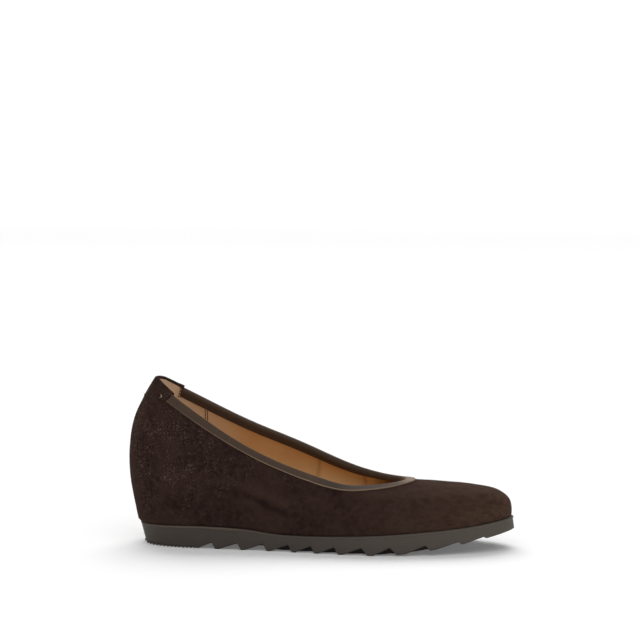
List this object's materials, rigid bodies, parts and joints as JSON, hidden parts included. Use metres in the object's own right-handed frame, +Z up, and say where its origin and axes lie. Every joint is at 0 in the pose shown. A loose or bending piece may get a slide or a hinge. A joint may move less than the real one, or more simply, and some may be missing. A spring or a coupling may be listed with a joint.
{
  "type": "wedge ballet flat",
  "caption": "Slip-on wedge ballet flat for a right foot: suede upper over a hidden wedge, bound collar with a raised heel tab, and a saw-tooth rubber sole.",
  "frame": {"origin": "under the middle of the shoe's box, on the plane that the sole stands on", "axes": "+X from heel to toe, +Y to the inner (medial) side of the right foot, +Z up"},
  "size_m": [0.2508, 0.083, 0.1082],
  "materials": {
    "sole_rubber": "matt moulded rubber",
    "wedge_cork": "bare cork, covered by the upper",
    "sock_leather": "smooth tan leather",
    "brown_suede": "napped suede",
    "binding_leather": "smooth satin leather"
  },
  "bodies": {
    "root": {"outsole": "sole_rubber", "wedge_heel": "wedge_cork", "insole": "sock_leather", "upper": "brown_suede", "topline_binding": "binding_leather"}
  },
  "joints": []
}
